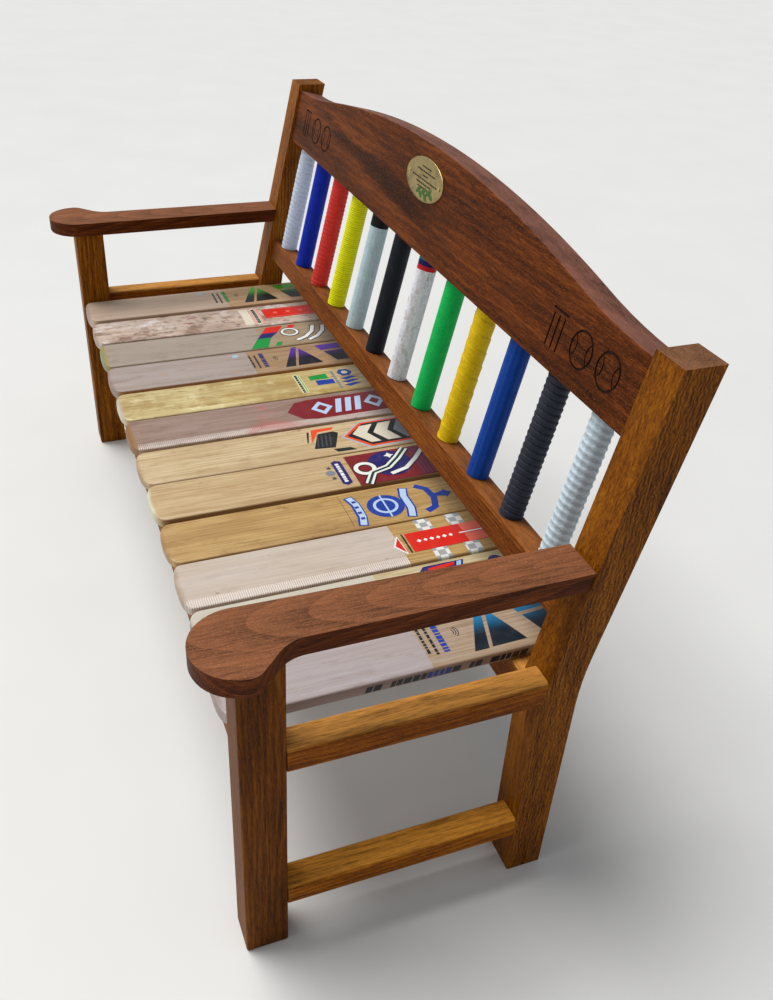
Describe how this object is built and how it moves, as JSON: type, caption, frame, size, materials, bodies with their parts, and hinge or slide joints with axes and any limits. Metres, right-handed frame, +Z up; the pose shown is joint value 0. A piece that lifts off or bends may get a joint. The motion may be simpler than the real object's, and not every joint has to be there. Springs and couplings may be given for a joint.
{
  "type": "garden bench",
  "caption": "slatted garden bench with arms and a crested back; its seat slats are cricket bat blades and its back spindles are gripped bat handles",
  "frame": {"origin": "centre of the footprint on the ground", "axes": "+X along the bench, to the right of someone who stands in front and faces it, -Y the front, +Z up"},
  "size_m": [1.5906, 0.6278, 0.8837],
  "materials": {
    "frame_wood": "oiled hardwood, coarse grain",
    "rail_wood": "oiled hardwood, orange brown",
    "arm_wood": "oiled hardwood, reddish brown",
    "crest_wood": "oiled hardwood, dark reddish brown with a dark streak",
    "handle_cane": "bare cane",
    "plaque_brass": "satin, slightly tarnished",
    "blade_01": "pale willow, used",
    "grip_01": "pale grey, ribbed",
    "blade_02": "pale willow, used",
    "grip_02": "royal blue, fine texture",
    "blade_03": "pale willow, used",
    "grip_03": "red, ribbed",
    "blade_04": "pale willow, used",
    "grip_04": "lime, fine ribs",
    "blade_05": "pale willow, used",
    "grip_05": "grey, black band",
    "blade_06": "pale willow, used",
    "grip_06": "black, ribbed",
    "blade_07": "pale willow, used",
    "grip_07": "light grey, textured",
    "blade_08": "pale willow, used",
    "grip_08": "green, scale texture",
    "blade_09": "pale willow, used",
    "grip_09": "yellow, wrapped",
    "blade_10": "pale willow, used",
    "grip_10": "blue, diamond texture",
    "blade_11": "pale willow, used",
    "grip_11": "charcoal, wide ribs",
    "blade_12": "pale willow, used",
    "grip_12": "silver grey, angled ribs"
  },
  "bodies": {
    "root": {"front_leg_left": "frame_wood", "front_leg_right": "frame_wood", "back_post_left": "frame_wood", "back_post_right": "frame_wood", "armrest_left": "arm_wood", "armrest_right": "arm_wood", "side_seat_rail_left": "rail_wood", "side_seat_rail_right": "rail_wood", "side_stretcher_left": "rail_wood", "side_stretcher_right": "rail_wood", "front_seat_rail": "frame_wood", "rear_seat_rail": "frame_wood", "lower_back_rail": "rail_wood", "top_rail": "crest_wood", "bat_blade_01": "blade_01", "handle_grip_01": "grip_01", "handle_cane_01": "handle_cane", "bat_blade_02": "blade_02", "handle_grip_02": "grip_02", "handle_cane_02": "handle_cane", "bat_blade_03": "blade_03", "handle_grip_03": "grip_03", "handle_cane_03": "handle_cane", "bat_blade_04": "blade_04", "handle_grip_04": "grip_04", "handle_cane_04": "handle_cane", "bat_blade_05": "blade_05", "handle_grip_05": "grip_05", "handle_cane_05": "handle_cane", "bat_blade_06": "blade_06", "handle_grip_06": "grip_06", "handle_cane_06": "handle_cane", "bat_blade_07": "blade_07", "handle_grip_07": "grip_07", "handle_cane_07": "handle_cane", "bat_blade_08": "blade_08", "handle_grip_08": "grip_08", "handle_cane_08": "handle_cane", "bat_blade_09": "blade_09", "handle_grip_09": "grip_09", "handle_cane_09": "handle_cane", "bat_blade_10": "blade_10", "handle_grip_10": "grip_10", "handle_cane_10": "handle_cane", "bat_blade_11": "blade_11", "handle_grip_11": "grip_11", "handle_cane_11": "handle_cane", "bat_blade_12": "blade_12", "handle_grip_12": "grip_12", "handle_cane_12": "handle_cane", "plaque": "plaque_brass", "plaque_pin_left": "plaque_brass", "plaque_pin_right": "plaque_brass"}
  },
  "joints": []
}
